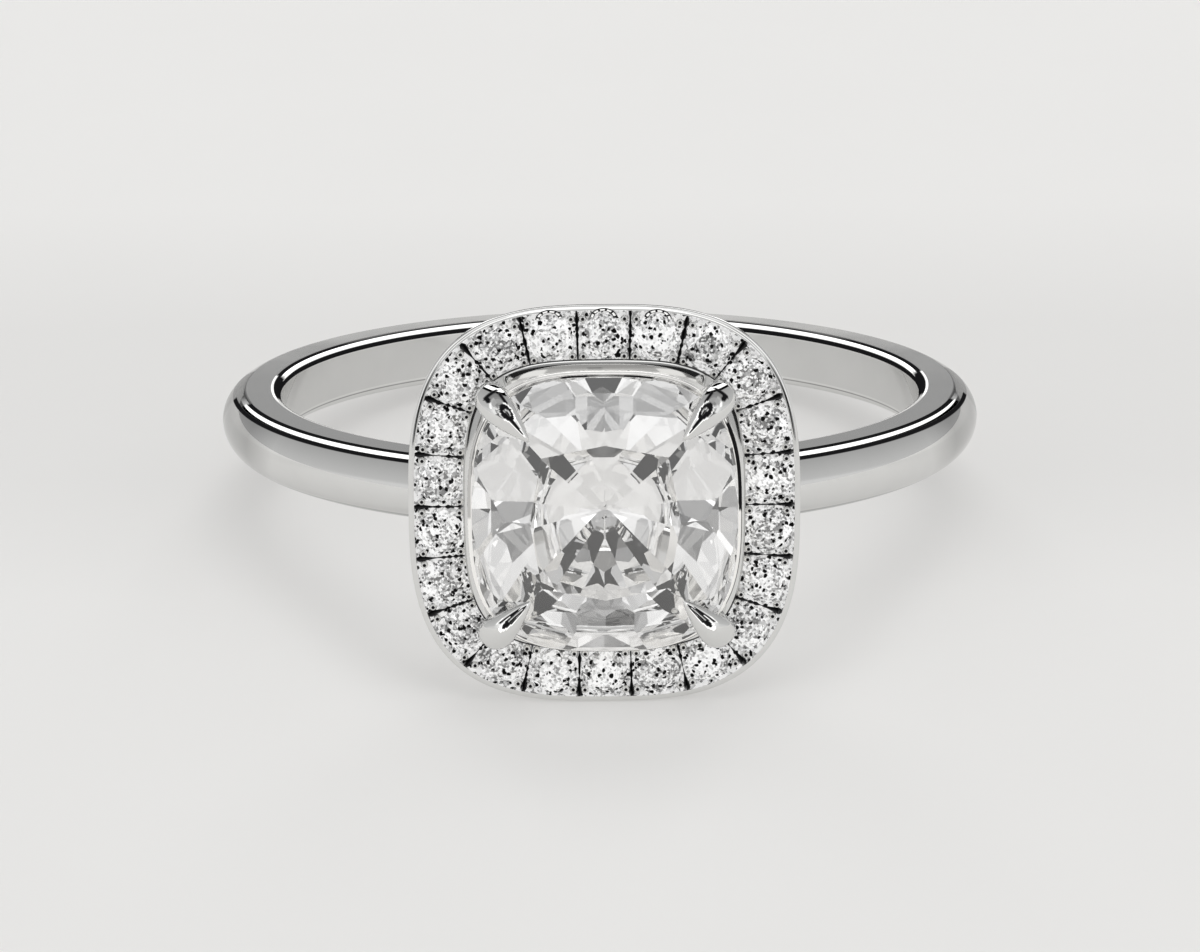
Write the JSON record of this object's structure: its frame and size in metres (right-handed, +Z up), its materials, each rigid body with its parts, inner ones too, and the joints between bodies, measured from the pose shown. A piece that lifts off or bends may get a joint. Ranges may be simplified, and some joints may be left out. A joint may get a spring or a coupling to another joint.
{
  "type": "cushion halo engagement ring",
  "caption": "White-metal finger ring lying on its side, with a clear cushion-cut stone in four claws inside a halo of small round stones.",
  "frame": {"origin": "on the surface that the ring rests on, under the middle of the ring's box", "axes": "+Z up from that surface, +X across the finger, -Y the way the centre stone faces; the finger's axis leans back from +Z by the resting tilt of 11.9 degrees"},
  "size_m": [0.0194, 0.0216, 0.0095],
  "materials": {
    "white_gold": "high polish, bright plated",
    "centre_gem": "clear, faceted and polished",
    "halo_gem": "clear, faceted and polished"
  },
  "bodies": {
    "root": {"ring_mount": "white_gold", "centre_stone": "centre_gem", "halo_stone_01": "halo_gem", "halo_stone_02": "halo_gem", "halo_stone_03": "halo_gem", "halo_stone_04": "halo_gem", "halo_stone_05": "halo_gem", "halo_stone_06": "halo_gem", "halo_stone_07": "halo_gem", "halo_stone_08": "halo_gem", "halo_stone_09": "halo_gem", "halo_stone_10": "halo_gem", "halo_stone_11": "halo_gem", "halo_stone_12": "halo_gem", "halo_stone_13": "halo_gem", "halo_stone_14": "halo_gem", "halo_stone_15": "halo_gem", "halo_stone_16": "halo_gem", "halo_stone_17": "halo_gem", "halo_stone_18": "halo_gem", "halo_stone_19": "halo_gem", "halo_stone_20": "halo_gem", "halo_stone_21": "halo_gem", "halo_stone_22": "halo_gem"}
  },
  "joints": []
}
